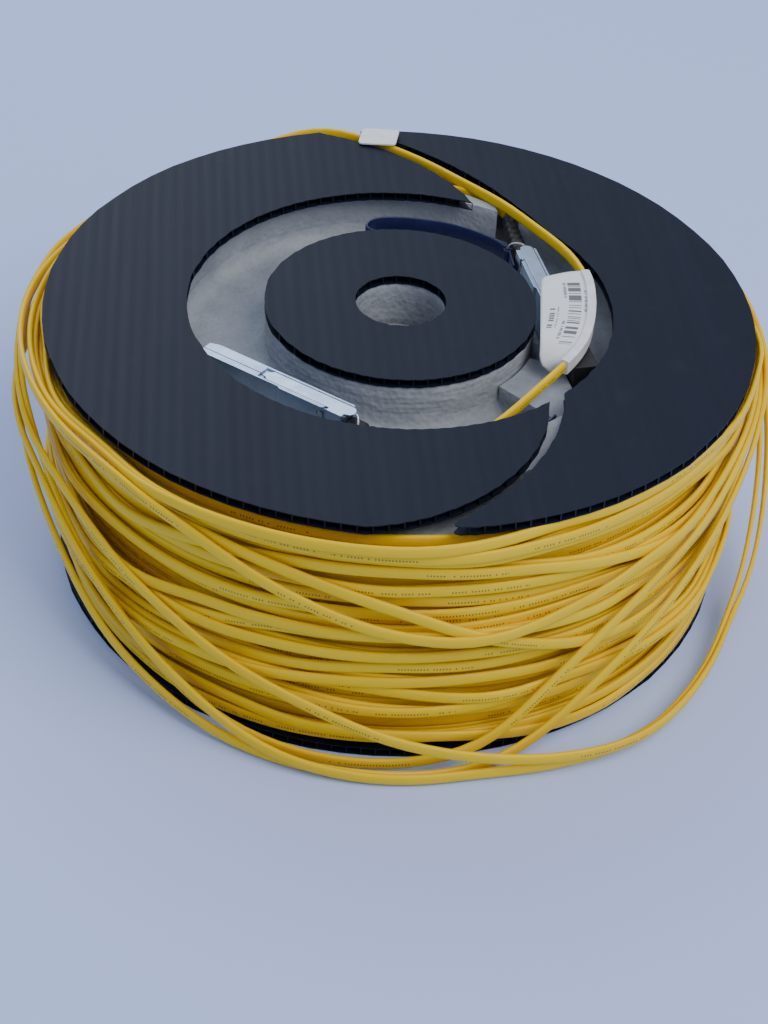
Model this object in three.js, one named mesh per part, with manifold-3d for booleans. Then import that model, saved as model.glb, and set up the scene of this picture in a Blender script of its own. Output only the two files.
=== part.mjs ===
// Fiber optic cable with a plug module on each end, wound on a shipping reel.
// Millimetres, +Z up. The origin is the centre of the reel's underside.
import * as THREE from 'three';
import { mergeVertices } from 'three/addons/utils/BufferGeometryUtils.js';
import Module from 'manifold-3d';

const wasm = await Module();
wasm.setup();

// ---- driving dimensions ----
const GAP = 0.3;                     // between pieces that touch
const REEL_R = 150;
const REEL_H = 120;
const BOARD_T = 4;                   // fluted board
const OPENING_R = 90;                // round opening of the upper board
const DISC_R = 58;
const ARBOR_R = 19;
const CHANNEL_FLOOR_Z = 95;          // the channel that holds the plug modules
const CHANNEL_WALL_R = 96;
const CORE_R = 143;                  // the foam that the cable is wound on
const STEP_R = 118;                  // the foam is smaller just under the upper board
const STEP_Z = 107.7;
const CABLE_WIDTH = 5.2;             // flat cable
const CABLE_THICK = 2.1;
const WINDING_BULGE = 2.4;           // how far the winding stands past the boards

const MODULE_LENGTH = 72.4;          // plug module, a standard size
const MODULE_WIDTH = 18.35;
const MODULE_THICK = 8.5;
const MODULE_Z = 105.8;              // height of its centre line, stored on its side edge
const SEAM = 1;                      // height of the seam between its shells
const WALL = 1.15;
const SLIDER_T = 0.5;                // sheet metal of the latch slider
const BAIL_REACH = 7.6;              // how far the bail wire stands behind the module
const BAIL_RISE = 6.4;               // and to its side
const BOOT_LENGTH = 32;
const BOOT_BEND = THREE.MathUtils.degToRad(20);
const CAP_LENGTH = 36;
const CAP_OVERLAP = 14;              // how much of the nose the dust cap covers
const STRAP_T = 1.2;
const STRAP_WIDTH = 9;
const STRAP_RISE = { a: 1, b: 0 };   // above the module's centre line
const EYE_R = 2.2;                   // the strap's eye round the bail wire

// ---- places of the two modules: rear centre, direction of the nose, side of the pull tab ----
const MODULE_PLACES = {
  a: { rear: [55, 56.5], nose: -76, tabSide: 1, bootPlane: 'y' },
  b: { rear: [-17.4, -73.8], nose: 147.8, tabSide: -1, bootPlane: 'z' },
};

// ---- routes, in the reel's frame ----
const LEAD_A_ROUTE = [
  [47.2, 87.6, 111.6], [45.4, 92, 113.2], [41, 96.2, 114.6], [35.8, 99.6, 115.2], [29.5, 103.2, 114.8],
  [19, 107.4, 113.6], [8, 110.4, 113.2], [-4, 112.6, 113.2], [-14, 113.8, 113.2],
];
const LEAD_B_ROUTE = [
  [12.9, -86.1, 105.9], [20.5, -85.6, 106.2], [29.5, -80.8, 107.6], [38, -74.8, 110], [46.5, -66.8, 113],
  [54.2, -57.8, 116], [62, -48.5, 118.3], [69.8, -38, 119.6], [75.8, -26, 120.1], [79.2, -13, 120.3],
  [80.7, 0, 120.3], [81, 12, 120.2], [80.4, 22, 120.1], [78.3, 31.7, 120], [74.5, 43, 119.7],
  [68.6, 53.6, 119.4], [62.6, 62.3, 119.1], [57.4, 69.3, 118.9], [48.2, 83, 118.6], [38.7, 93.8, 118.3],
  [28.5, 103, 118.2], [18.5, 112.5, 118.2], [7.5, 122.4, 118.2], [-3.5, 130.6, 118.2], [-15, 137.5, 118.2],
  [-27.5, 144.8, 118], [-41, 150.6, 117], [-55, 149.6, 115], [-68.5, 142.4, 112],
];
const LABEL_SPAN = [0.211, 0.426];   // stretch of lead_b under the flag label
const STRAP_ROUTES = {
  a: [[46.2, 63.4], [40, 67], [31, 70.2], [20, 72.4], [8, 73.2], [-4, 72.4], [-13, 69.6], [-17, 65.4], [-14.6, 62.6]],
  b: [[-12.9, -84.2], [-5, -88.2], [4, -91.2], [14, -91.6], [28, -88.2], [42, -82.2], [53, -75.2], [60.5, -69],
    [64.2, -64.8]],
};
const STRAP_TAILS = {
  a: [[48, 61], [48.6, 56.5], [49.8, 50.2]],
  b: [[-15.4, -82.4], [-18, -81], [-22.4, -78.4]],
};
const LOW_TURN = { from: 196, to: 338, radius: 156, bulge: 6, z: 12, drop: -7 };
const HIGH_TURN = { from: 150, to: 330, radius: 156.5, bulge: 7, z: 84, drop: -30 };
const SIDE_TURN = { from: -42, to: 62, radius: 156.5, bulge: 9, z: 58, drop: 26 };

// ---- materials ----
const finish = (color, roughness, metalness) => new THREE.MeshStandardMaterial({ color, roughness, metalness });
const LOOKS = {
  board: [0x2b3340, 0.45, 0],
  foam: [0xdfe3e8, 0.9, 0],
  jacket: [0xe0bd28, 0.4, 0],
  label: [0xf4f4f2, 0.5, 0],
  shell: [0xb9c4cf, 0.35, 1],
  sheet: [0xc4ccd6, 0.3, 1],
  wire: [0xc8ccd2, 0.25, 1],
  rubber: [0x15171b, 0.6, 0],
  strap: [0x1c2466, 0.5, 0],
  laminate: [0x1f4a2a, 0.5, 0],
  moulded: [0x202226, 0.5, 0],
};

// ---- geometry helpers ----
const at = (radius, degrees) => {
  const angle = THREE.MathUtils.degToRad(degrees);
  return new THREE.Vector2(radius * Math.cos(angle), radius * Math.sin(angle));
};

// Points along a curve given in polar form, from one angle to another.
function sweepAngle(radiusAt, from, to, step = 5) {
  const count = Math.max(2, Math.round(Math.abs(to - from) / step));
  const points = [];
  for (let i = 0; i <= count; i += 1) {
    const angle = from + ((to - from) * i) / count;
    points.push(at(radiusAt(angle), angle));
  }
  return points;
}

const circle = (radius, step = 5) => sweepAngle(() => radius, 0, 360 - step, step);

function slab(outline, low, high, holes = []) {
  const shape = new THREE.Shape(outline);
  shape.holes = holes.map((hole) => new THREE.Path(hole));
  const geometry = new THREE.ExtrudeGeometry(shape, { depth: high - low, bevelEnabled: false });
  return geometry.translate(0, 0, low);
}

// A ring turned about the Z axis from a closed profile of [radius, height] points.
function turned(profile, segments = 72) {
  const points = [...profile, profile[0]].map(([radius, height]) => new THREE.Vector2(radius, height));
  return new THREE.LatheGeometry(points, segments).rotateX(Math.PI / 2);
}

function box(x, y, z) {
  const geometry = new THREE.BoxGeometry(x[1] - x[0], y[1] - y[0], z[1] - z[0]);
  return geometry.translate((x[0] + x[1]) / 2, (y[0] + y[1]) / 2, (z[0] + z[1]) / 2);
}

function solidOf(geometry) {
  const bare = geometry.clone();
  bare.deleteAttribute('normal');
  bare.deleteAttribute('uv');
  const merged = mergeVertices(bare, 1e-4);
  return new wasm.Manifold(new wasm.Mesh({
    numProp: 3,
    vertProperties: new Float32Array(merged.attributes.position.array),
    triVerts: new Uint32Array(merged.index.array),
  }));
}

function geometryOf(solid) {
  const mesh = solid.getMesh();
  const geometry = new THREE.BufferGeometry();
  geometry.setAttribute('position', new THREE.BufferAttribute(mesh.vertProperties, 3));
  geometry.setIndex(new THREE.BufferAttribute(mesh.triVerts, 1));
  return geometry;
}

const join = (first, ...others) => geometryOf(others.reduce((sum, one) => sum.add(solidOf(one)), solidOf(first)));
const cut = (first, ...tools) => geometryOf(tools.reduce((rest, one) => rest.subtract(solidOf(one)), solidOf(first)));

// A route whose section keeps its first side up, as a flat cable that lies on its wide face.
class LaidCurve extends THREE.CatmullRomCurve3 {
  constructor(points) {
    super(points, false, 'centripetal');
  }

  computeFrenetFrames(segments) {
    const frames = { tangents: [], normals: [], binormals: [] };
    for (let i = 0; i <= segments; i += 1) {
      const tangent = this.getTangentAt(i / segments);
      const up = new THREE.Vector3(0, 0, 1).addScaledVector(tangent, -tangent.z).normalize();
      frames.tangents.push(tangent);
      frames.normals.push(up);
      frames.binormals.push(new THREE.Vector3().crossVectors(tangent, up));
    }
    return frames;
  }
}

const laid = (route) => new LaidCurve(route.map((point) => new THREE.Vector3(...point)));

function oval(halfHeight, halfWidth, sides = 8) {
  const points = [];
  for (let i = 0; i < sides; i += 1) {
    const angle = (2 * Math.PI * (i + 0.5)) / sides;
    points.push(new THREE.Vector2(halfHeight * Math.cos(angle), halfWidth * Math.sin(angle)));
  }
  return points;
}

function along(curve, section, steps, holes = []) {
  const shape = new THREE.Shape(section);
  shape.holes = holes.map((hole) => new THREE.Path(hole));
  return new THREE.ExtrudeGeometry(shape, { extrudePath: curve, steps, bevelEnabled: false });
}

const cableTube = (route, steps) => along(laid(route), oval(CABLE_THICK / 2 - 0.1, CABLE_WIDTH / 2 - 0.2), steps);

// A strip of even width round a route in the plan, as a closed outline.
function stripOutline(route, halfWidth) {
  const curve = new THREE.CatmullRomCurve3(route.map(([x, y]) => new THREE.Vector3(x, y, 0)), false, 'centripetal');
  const count = route.length * 2;
  const sides = [[], []];
  for (let i = 0; i <= count; i += 1) {
    const point = curve.getPointAt(i / count);
    const way = curve.getTangentAt(i / count);
    sides[0].push(new THREE.Vector2(point.x + way.y * halfWidth, point.y - way.x * halfWidth));
    sides[1].unshift(new THREE.Vector2(point.x - way.y * halfWidth, point.y + way.x * halfWidth));
  }
  return [...sides[0], ...sides[1]];
}

const assembly = new THREE.Group();

function addPart(parent, name, geometry, look) {
  const mesh = new THREE.Mesh(geometry, finish(...LOOKS[look]));
  mesh.name = name;
  parent.add(mesh);
  return mesh;
}

// ---- the reel's boards ----
const topLow = REEL_H - BOARD_T;

// The two slits run outwards in curves. Each function gives an edge's radius at an angle.
const backSlitRight = (angle) => OPENING_R + (REEL_R - OPENING_R) * ((angle - 40) / 60) ** 1.7;
const backSlitLeft = (angle) => OPENING_R + ((REEL_R - OPENING_R) * (angle - 70)) / 37;
const frontSlitRight = (angle) => OPENING_R + 1.45 * (-42 - angle);
const frontSlitLeft = (angle) => OPENING_R + (REEL_R - OPENING_R) * (1 - (1 - (-47 - angle) / 46) ** 1.35);

function roundedCorner(start, corner, end) {
  return new THREE.QuadraticBezierCurve(start, corner, end).getPoints(5);
}

const rightHalf = [
  ...roundedCorner(at(frontSlitRight(-78), -78), at(REEL_R, -83.4), at(REEL_R, -78)),
  ...sweepAngle(() => REEL_R, -75, 98),
  ...sweepAngle(backSlitRight, 99.5, 44),
  ...sweepAngle(() => OPENING_R, 40, -42),
  ...sweepAngle(frontSlitRight, -46, -74),
];
const leftHalf = [
  ...sweepAngle(() => REEL_R, 107, 267),
  ...sweepAngle(frontSlitLeft, -92, -51, 4),
  ...sweepAngle(() => OPENING_R, -47, -290),
  ...sweepAngle(backSlitLeft, 74, 103),
];
const ringBoard = (radius, low, high) => slab(circle(radius), low, high, [circle(ARBOR_R, 10)]);

addPart(assembly, 'lower_flange', ringBoard(REEL_R, 0, BOARD_T), 'board');
addPart(assembly, 'upper_flange_right', slab(rightHalf, topLow, REEL_H), 'board');
addPart(assembly, 'upper_flange_left', slab(leftHalf, topLow, REEL_H), 'board');
addPart(assembly, 'middle_disc', ringBoard(DISC_R, topLow, REEL_H), 'board');

// ---- foam ----
const foamLow = BOARD_T + GAP;
const foamTop = topLow - GAP;
const foamBore = ARBOR_R + 0.5;
addPart(assembly, 'foam_core', turned([
  [foamBore, foamLow], [CORE_R, foamLow], [CORE_R, CHANNEL_FLOOR_Z - GAP], [foamBore, CHANNEL_FLOOR_Z - GAP],
]), 'foam');
addPart(assembly, 'foam_hub', turned([
  [foamBore, CHANNEL_FLOOR_Z], [DISC_R - 0.5, CHANNEL_FLOOR_Z], [DISC_R - 0.5, foamTop], [foamBore, foamTop],
]), 'foam');

// The boot of module a and its cable leave the channel through a groove in the foam ring.
const BOOT_POCKET = 5.2;             // half the width of the pocket
const [PAD_FROM, PAD_TO] = [-43, -18];
const PAD_TOP_Z = 107;
const CAP_POCKET = 6;
const bootPocket = box([-54, -24], [-BOOT_POCKET, BOOT_POCKET], [98, REEL_H]);
bootPocket.rotateZ(THREE.MathUtils.degToRad(MODULE_PLACES.a.nose));
bootPocket.translate(MODULE_PLACES.a.rear[0], MODULE_PLACES.a.rear[1], 0);
const grooveRoute = [...LEAD_A_ROUTE.slice(1), [-34, 117]].map(([x, y]) => [x, y]);
const leadGroove = slab(stripOutline(grooveRoute, 4), 110.5, REEL_H);
// A pad on the channel floor holds the dust cap of module a.
const pad = slab([...sweepAngle(() => DISC_R + 0.3, PAD_FROM, PAD_TO), ...sweepAngle(() => CHANNEL_WALL_R + 1, PAD_TO, PAD_FROM)],
  CHANNEL_FLOOR_Z, PAD_TOP_Z);
const capPocket = box([0, MODULE_LENGTH + CAP_LENGTH], [-CAP_POCKET, CAP_POCKET], [CHANNEL_FLOOR_Z - 1, REEL_H]);
capPocket.rotateZ(THREE.MathUtils.degToRad(MODULE_PLACES.a.nose));
capPocket.translate(MODULE_PLACES.a.rear[0], MODULE_PLACES.a.rear[1], 0);
addPart(assembly, 'foam_ring', cut(join(turned([
  [CHANNEL_WALL_R, CHANNEL_FLOOR_Z], [CORE_R, CHANNEL_FLOOR_Z], [CORE_R, STEP_Z],
  [STEP_R, STEP_Z], [STEP_R, foamTop], [CHANNEL_WALL_R, foamTop],
]), pad), bootPocket, leadGroove, capPocket), 'foam');

// ---- the cable ----
addPart(assembly, 'cable_winding', turned([
  [CORE_R + GAP, foamLow], [REEL_R - 1.5, foamLow], [REEL_R + 1.4, 14], [REEL_R + WINDING_BULGE, 40],
  [REEL_R + WINDING_BULGE, 80], [REEL_R + 1.4, 106], [REEL_R - 1.5, foamTop],
  [STEP_R + 1, foamTop], [STEP_R + 1, STEP_Z + GAP], [CORE_R + GAP, STEP_Z + GAP],
]), 'jacket');

// A slack turn leaves the winding, bulges out and returns to it further round.
function slackTurn({ from, to, radius, bulge, z, drop }, steps) {
  const route = [];
  const count = 12;
  for (let i = 0; i <= count; i += 1) {
    const share = i / count;
    const swell = Math.sin(Math.PI * share);
    const place = at(radius + bulge * swell, from + (to - from) * share);
    route.push([place.x, place.y, z + drop * swell]);
  }
  return cableTube(route, steps);
}

addPart(assembly, 'loose_turn_low', slackTurn(LOW_TURN, 14), 'jacket');
addPart(assembly, 'loose_turn_high', slackTurn(HIGH_TURN, 16), 'jacket');
addPart(assembly, 'loose_turn_side', slackTurn(SIDE_TURN, 12), 'jacket');
addPart(assembly, 'lead_a', cableTube(LEAD_A_ROUTE, 10), 'jacket');
addPart(assembly, 'lead_b', cableTube(LEAD_B_ROUTE, 30), 'jacket');

// ---- labels ----
// The flag label wraps the cable as a sleeve and carries a flag towards the hub.
class Stretch extends LaidCurve {
  constructor(route, [start, end]) {
    super(route.map((point) => new THREE.Vector3(...point)));
    this.start = start;
    this.end = end;
  }

  getPointAt(share, target) {
    return super.getPointAt(this.start + (this.end - this.start) * share, target);
  }

  getTangentAt(share) {
    const whole = this.start + (this.end - this.start) * share;
    return super.getPointAt(whole + 0.001).sub(super.getPointAt(whole - 0.001)).normalize();
  }
}
const SLEEVE_OUT = 3.3;
const FLAG_WIDTH = 20.5;
const flagSection = oval(SLEEVE_OUT - 1, SLEEVE_OUT, 12);
const sleeveHole = oval(CABLE_THICK / 2 + 0.25, CABLE_WIDTH / 2 + 0.2, 8);
const sleeve = along(new Stretch(LEAD_B_ROUTE, LABEL_SPAN), flagSection, 10, [sleeveHole]);
const flagStrip = [
  new THREE.Vector2(-0.3, -SLEEVE_OUT + 0.15), new THREE.Vector2(0.3, -SLEEVE_OUT + 0.15),
  new THREE.Vector2(0.3, -FLAG_WIDTH), new THREE.Vector2(-0.3, -FLAG_WIDTH),
];
const flag = along(new Stretch(LEAD_B_ROUTE, LABEL_SPAN), flagStrip, 10);
addPart(assembly, 'flag_label', join(sleeve, flag), 'label');

const tag = box([-9, 9], [-7.5, 7.5], [-0.35, 0.35]);
tag.rotateY(THREE.MathUtils.degToRad(-4));
tag.rotateZ(THREE.MathUtils.degToRad(-6));
addPart(assembly, 'tag_label', tag.translate(-15, 139.5, 121.6), 'label');

// ---- the plug modules ----
// Module frame: x from the rear face to the nose, y across, z through the thickness.
const halfWidth = MODULE_WIDTH / 2;
const halfThick = MODULE_THICK / 2;
const innerY = halfWidth - 1.75;
const recessY = halfWidth - 0.9;                 // the arms lie in this recess of the side walls
const armY = recessY + GAP;
const armHalfHeight = 3;
const armTip = 42;
const hoodZ = halfThick + 0.9;                   // the thick rear part of the cover
const postX = 11;
const postY = 5.6;
const lugX = 20.5;
const noseCut = 4.2;

// Extrudes a side profile of [x, z] points across the module.
function acrossModule(profile, from, to) {
  const shape = new THREE.Shape(profile.map(([x, z]) => new THREE.Vector2(x, z)));
  const geometry = new THREE.ExtrudeGeometry(shape, { depth: to - from, bevelEnabled: false });
  return geometry.rotateX(Math.PI / 2).translate(0, to, 0);
}

function onBothSides(make) {
  return [make(1), make(-1)];
}

const span = (side, from, to) => (side > 0 ? [from, to] : [-to, -from]);

function sideRecesses(low, high) {
  return onBothSides((side) => box([-1, armTip + 1.2], span(side, recessY, halfWidth + 1), [low, high]));
}

function housingBase() {
  const top = SEAM - GAP / 2;
  const body = acrossModule([
    [0, -halfThick + 0.8], [0.8, -halfThick], [MODULE_LENGTH - noseCut, -halfThick],
    [MODULE_LENGTH, -halfThick + 1.4], [MODULE_LENGTH, top], [0, top],
  ], -halfWidth, halfWidth);
  const floor = -halfThick + WALL;
  const pocket = box([1.5, MODULE_LENGTH + 1], [-innerY, innerY], [floor, top + 1]);
  const rearSlot = box([-1, 2], [-4.2, 4.2], [-2.9, top + 1]);
  const lugSlots = onBothSides((side) => box([lugX - 3, lugX + 1.3], span(side, innerY - 1, halfWidth), [-3, -0.8]));
  const shell = cut(body, pocket, rearSlot, ...lugSlots, ...sideRecesses(-armHalfHeight - GAP, top + 1));
  const posts = onBothSides((side) => {
    const post = new THREE.CylinderGeometry(1.5, 1.5, 5.9, 12).rotateX(Math.PI / 2);
    return post.translate(postX, side * postY, floor - 0.2 + 2.95);
  });
  const holes = onBothSides((side) => {
    const hole = new THREE.CylinderGeometry(0.95, 0.95, 3, 8).rotateX(Math.PI / 2);
    return hole.translate(postX, side * postY, 2.3);
  });
  return cut(join(shell, ...posts), ...holes);
}

function housingCover() {
  const low = SEAM + GAP / 2;
  const body = acrossModule([
    [0, low], [MODULE_LENGTH, low], [MODULE_LENGTH, halfThick - 1.2], [MODULE_LENGTH - noseCut, halfThick],
    [32.5, halfThick], [31, hoodZ], [10.6, hoodZ], [9.6, halfThick], [0.8, halfThick], [0, halfThick - 0.8],
  ], -halfWidth, halfWidth);
  const pocket = box([1.5, MODULE_LENGTH + 1], [-innerY, innerY], [low - 1, halfThick - WALL + 0.1]);
  const rearSlot = box([-1, 2], [-4.2, 4.2], [low - 1, 2.9]);
  const sideCuts = onBothSides((side) => box([-1, 9.6], span(side, recessY, halfWidth + 1), [low - 1, hoodZ + 1]));
  const screwHoles = onBothSides((side) => {
    const shank = new THREE.CylinderGeometry(1, 1, 6, 8).rotateX(Math.PI / 2);
    return shank.translate(postX, side * postY, 4);
  });
  const headHoles = onBothSides((side) => {
    const head = new THREE.CylinderGeometry(1.75, 1.75, 2, 12).rotateX(Math.PI / 2);
    return head.translate(postX, side * postY, hoodZ + 0.2);
  });
  return cut(body, pocket, rearSlot, ...sideRecesses(low - 1, armHalfHeight + GAP), ...sideCuts, ...screwHoles,
    ...headHoles);
}

function coverScrew(side) {
  const head = new THREE.CylinderGeometry(1.4, 1.1, 0.6, 12).rotateX(Math.PI / 2).translate(0, 0, hoodZ - 0.3);
  const shank = new THREE.CylinderGeometry(0.65, 0.65, 3.4, 8).rotateX(Math.PI / 2).translate(0, 0, hoodZ - 2.2);
  return join(head, shank).translate(postX, side * postY, 0);
}

// Two side arms with stepped tongues, joined by a bridge over the cover. A lug on each arm meets a spring.
function latchSlider() {
  const hoodLow = halfThick + GAP;
  const arm = (side) => {
    const tongue = [[armTip - 3, 3], [armTip - 1.6, 1.7], [armTip, 1.4]];
    const outline = [
      [-1.5, -2.4], [-0.4, -armHalfHeight], ...tongue.map(([x, z]) => [x, -z]), ...tongue.reverse(),
      [8, armHalfHeight], [8, hoodLow + SLIDER_T], [0.8, hoodLow + SLIDER_T], [0.8, armHalfHeight],
      [-1.5, 2.4], [-2.6, 0.8], [-2.6, -0.8],
    ];
    const [from, to] = span(side, armY, armY + SLIDER_T);
    return acrossModule(outline, from, to);
  };
  const bridge = box([0.8, 8], [-armY - SLIDER_T, armY + SLIDER_T], [hoodLow, hoodLow + SLIDER_T]);
  const lugs = onBothSides((side) => box([lugX, lugX + 0.8], span(side, 5.3, armY + 0.2), [-2.7, -1.1]));
  return join(bridge, arm(1), arm(-1), ...lugs);
}

function returnSpring(side) {
  const turns = 4.5;
  const coil = new THREE.CatmullRomCurve3(Array.from({ length: 37 }, (_, i) => {
    const angle = (i / 36) * turns * 2 * Math.PI;
    return new THREE.Vector3(12.9 + (i / 36) * 5, side * 6.1 + 0.85 * Math.cos(angle), -1.95 + 0.85 * Math.sin(angle));
  }));
  return along(coil, oval(0.2, 0.2, 5), 36);
}

function bailWire() {
  const half = [
    [-3.2, 8.65, 0], [-4.6, 8.6, 1], [-6.4, 8.2, 3.4], [-7.4, 7.2, 5.2],
    [-BAIL_REACH, 5.6, BAIL_RISE], [-BAIL_REACH, 0, BAIL_RISE],
  ];
  const mirrored = half.slice(0, -1).reverse().map(([x, y, z]) => [x, -y, z]);
  const curve = new THREE.CatmullRomCurve3([...half, ...mirrored].map((point) => new THREE.Vector3(...point)));
  return along(curve, oval(0.55, 0.55, 6), 18);
}

// The boot tapers backwards, with ribs, and bends towards one side of the module.
function boot(plane, side) {
  const ribs = 8;
  const steps = ribs * 3;
  const corner = [[1, 0.45], [0.8, 0.85], [0.35, 1]];
  const outline = [[1, 1], [-1, 1], [-1, -1], [1, -1]].flatMap(([sx, sy], quarter) => {
    const points = corner.map(([x, y]) => new THREE.Vector2(x * sx, y * sy));
    return quarter % 2 ? points.reverse() : points;
  });
  const geometry = new THREE.ExtrudeGeometry(new THREE.Shape(outline), { depth: 1, steps, bevelEnabled: false });
  const position = geometry.attributes.position;
  for (let i = 0; i < position.count; i += 1) {
    const share = position.getZ(i);
    const ring = Math.round(share * steps);
    const groove = ring > 3 && ring < steps - 1 && ring % 3 === 0 ? 0.82 : 1;
    const y = -position.getX(i) * (5.6 - 2.1 * share) * groove;
    const z = position.getY(i) * (3.9 - 1.1 * share) * groove;
    const radius = BOOT_LENGTH / BOOT_BEND;
    const angle = share * BOOT_BEND;
    const lean = plane === 'y' ? y : z * side;
    const reach = (radius - lean) * Math.sin(angle);
    const offset = radius - (radius - lean) * Math.cos(angle);
    position.setXYZ(i, -GAP - reach, plane === 'y' ? offset : y, plane === 'y' ? z : offset * side);
  }
  return geometry;
}

function crimpSleeve() {
  const outer = [[3.8, 1.4], [2.4, 2.6], [-2.4, 2.6], [-3.8, 1.4], [-3.8, -1.4], [-2.4, -2.6], [2.4, -2.6], [3.8, -1.4]];
  const shape = new THREE.Shape(outer.map(([y, z]) => new THREE.Vector2(y, z)));
  shape.holes = [new THREE.Path(oval(2.4, 1.3, 8))];
  const geometry = new THREE.ExtrudeGeometry(shape, { depth: 5.4, bevelEnabled: false });
  return geometry.rotateX(Math.PI / 2).rotateZ(Math.PI / 2).translate(0.4, 0, 0);
}

function fiberRibbon() {
  return acrossModule([[6.2, -0.2], [8.5, -0.2], [13.2, 1.6], [27.2, 1.6], [27.2, 2], [12.9, 2], [8.2, 0.2], [6.2, 0.2]],
    -1.6, 1.6);
}

function dustCap() {
  const start = MODULE_LENGTH - CAP_OVERLAP;
  const end = start + CAP_LENGTH;
  const outer = box([start, end], [-halfWidth - 1, halfWidth + 1], [-halfThick - 1, halfThick + 1]);
  const inner = box([start - 1, end - 1.6], [-halfWidth - GAP, halfWidth + GAP], [-halfThick - GAP, halfThick + GAP]);
  return cut(outer, inner);
}

// The strap stands on edge in the channel, with an eye round the bail wire and a short tail.
function pullTab(key, eye) {
  const low = MODULE_Z + STRAP_RISE[key] - STRAP_WIDTH / 2;
  const high = low + STRAP_WIDTH;
  const eyeOuter = sweepAngle(() => EYE_R, 0, 330, 30).map((point) => point.add(eye));
  const eyeInner = sweepAngle(() => EYE_R - STRAP_T, 0, 315, 45).map((point) => point.add(eye));
  const strip = slab(stripOutline(STRAP_ROUTES[key], STRAP_T / 2), low, high);
  const tail = slab(stripOutline(STRAP_TAILS[key], STRAP_T / 2), low, high);
  return cut(join(slab(eyeOuter, low, high), strip, tail), slab(eyeInner, low - 1, high + 1));
}

function addModule(key) {
  const { rear, nose, tabSide, bootPlane } = MODULE_PLACES[key];
  const name = (piece) => `module_${key}_${piece}`;
  const yaw = THREE.MathUtils.degToRad(nose);

  // The module stands on its side edge, so its width is upright.
  const frame = new THREE.Group();
  frame.position.set(rear[0], rear[1], MODULE_Z);
  frame.rotation.set(Math.PI / 2, 0, yaw, 'ZYX');
  const turnedOver = new THREE.Group();
  turnedOver.rotation.x = tabSide > 0 ? 0 : Math.PI;
  frame.add(turnedOver);
  assembly.add(frame);

  const add = (piece, geometry, look) => addPart(turnedOver, name(piece), geometry, look);
  add('housing_base', housingBase(), 'shell');
  add('housing_cover', housingCover(), 'shell');
  add('cover_screw_1', coverScrew(1), 'sheet');
  add('cover_screw_2', coverScrew(-1), 'sheet');
  add('circuit_board', box([14, 71.6], [-7, 7], [-0.5, 0.5]), 'laminate');
  add('optical_engine', box([34, 44], [-4, 4], [0.8, 2.7]), 'moulded');
  add('fiber_ferrule', box([27.5, 33.7], [-3.2, 3.2], [0.8, 2.8]), 'moulded');
  add('fiber_ribbon', fiberRibbon(), 'jacket');
  add('crimp_sleeve', crimpSleeve(), 'sheet');
  add('boot', boot(bootPlane, -1), 'rubber');
  add('latch_slider', latchSlider(), 'sheet');
  add('return_spring_1', returnSpring(1), 'wire');
  add('return_spring_2', returnSpring(-1), 'wire');
  add('bail_wire', bailWire(), 'wire');

  const towardsTab = new THREE.Vector2(Math.sin(yaw), -Math.cos(yaw)).multiplyScalar(tabSide);
  const towardsNose = new THREE.Vector2(Math.cos(yaw), Math.sin(yaw));
  const eye = new THREE.Vector2(...rear).addScaledVector(towardsNose, -BAIL_REACH).addScaledVector(towardsTab, BAIL_RISE);
  addPart(assembly, name('pull_tab'), pullTab(key, eye), 'strap');
  return add;
}

const addToModuleA = addModule('a');
addToModuleA('dust_cap', dustCap(), 'rubber');
addModule('b');

export default assembly;
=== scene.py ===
"""A flat yellow fibre cable on its shipping reel, with a plug module at each end."""

import math

import bmesh
import bpy
import numpy as np
from mathutils import Matrix, Vector, noise


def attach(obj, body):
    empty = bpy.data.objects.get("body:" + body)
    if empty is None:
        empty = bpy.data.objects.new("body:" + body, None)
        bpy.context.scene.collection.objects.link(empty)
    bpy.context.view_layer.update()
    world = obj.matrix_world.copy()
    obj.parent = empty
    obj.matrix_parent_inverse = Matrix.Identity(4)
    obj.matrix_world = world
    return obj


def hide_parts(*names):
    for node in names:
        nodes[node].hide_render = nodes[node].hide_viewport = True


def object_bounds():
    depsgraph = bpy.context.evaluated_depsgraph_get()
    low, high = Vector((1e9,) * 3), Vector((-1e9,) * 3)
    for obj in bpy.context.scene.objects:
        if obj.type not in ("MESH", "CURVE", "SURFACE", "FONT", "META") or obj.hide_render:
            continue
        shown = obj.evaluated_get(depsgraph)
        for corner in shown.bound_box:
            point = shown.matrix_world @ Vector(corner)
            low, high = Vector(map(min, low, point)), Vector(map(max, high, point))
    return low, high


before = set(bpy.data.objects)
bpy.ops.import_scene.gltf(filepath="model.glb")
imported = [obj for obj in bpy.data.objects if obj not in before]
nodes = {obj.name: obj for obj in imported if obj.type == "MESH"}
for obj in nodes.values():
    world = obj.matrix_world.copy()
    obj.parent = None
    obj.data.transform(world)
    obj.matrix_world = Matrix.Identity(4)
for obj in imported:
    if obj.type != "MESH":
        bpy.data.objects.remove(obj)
cad_box = [list(corner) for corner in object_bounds()]

MM = 0.001

# ---- sizes of the reel and the cable, in millimetres, as the CAD has them ----
REEL_R = 150
REEL_H = 120
BOARD_T = 4
FOAM_BORE_R = 19.5
CORE_R = 143
CABLE_WIDTH = 5.2
CABLE_THICK = 2.1
FLUTE_PITCH = 5.8
FLUTE_TURN = math.radians(7)  # the flutes run nearly front to back

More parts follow.
